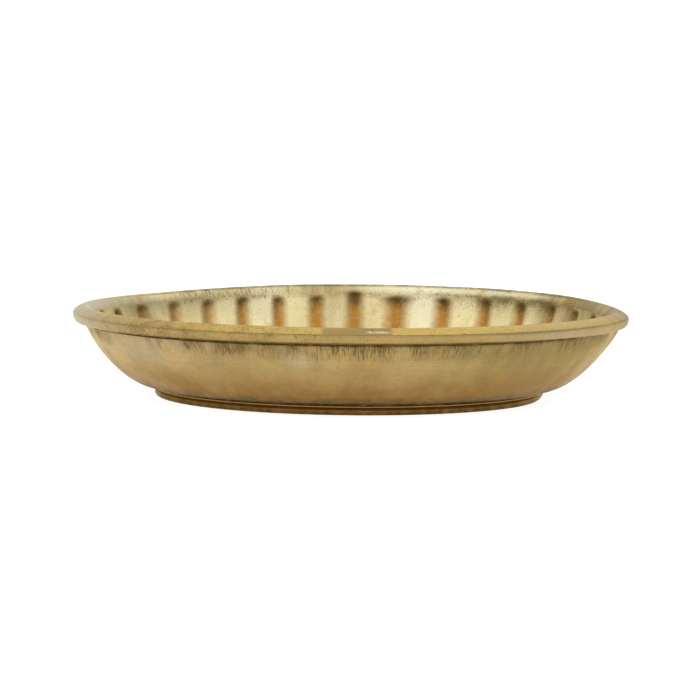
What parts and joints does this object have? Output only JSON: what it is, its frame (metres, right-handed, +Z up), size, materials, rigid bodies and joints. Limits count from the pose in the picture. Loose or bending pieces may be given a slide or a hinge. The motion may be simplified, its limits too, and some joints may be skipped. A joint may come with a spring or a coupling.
{
  "type": "urli bowl",
  "caption": "Shallow round brass dish with a fluted inside, a smooth turned outside, a faceted rim band and a low foot ring.",
  "frame": {"origin": "centre of the foot ring's resting plane", "axes": "+Z up along the bowl's turning axis, out of its mouth; -Y towards the picture's viewer and +X to the viewer's right"},
  "size_m": [0.0698, 0.0698, 0.0113],
  "materials": {
    "cast_brass": "aged, satin, darker in the valleys",
    "turned_brass": "aged, worn bright on the edges",
    "solder": "dull, dark brown patina"
  },
  "bodies": {
    "root": {"bowl_shell": "cast_brass", "rim_band": "turned_brass", "foot_ring": "turned_brass", "rim_solder_seam": "solder", "foot_solder_seam": "solder"}
  },
  "joints": []
}
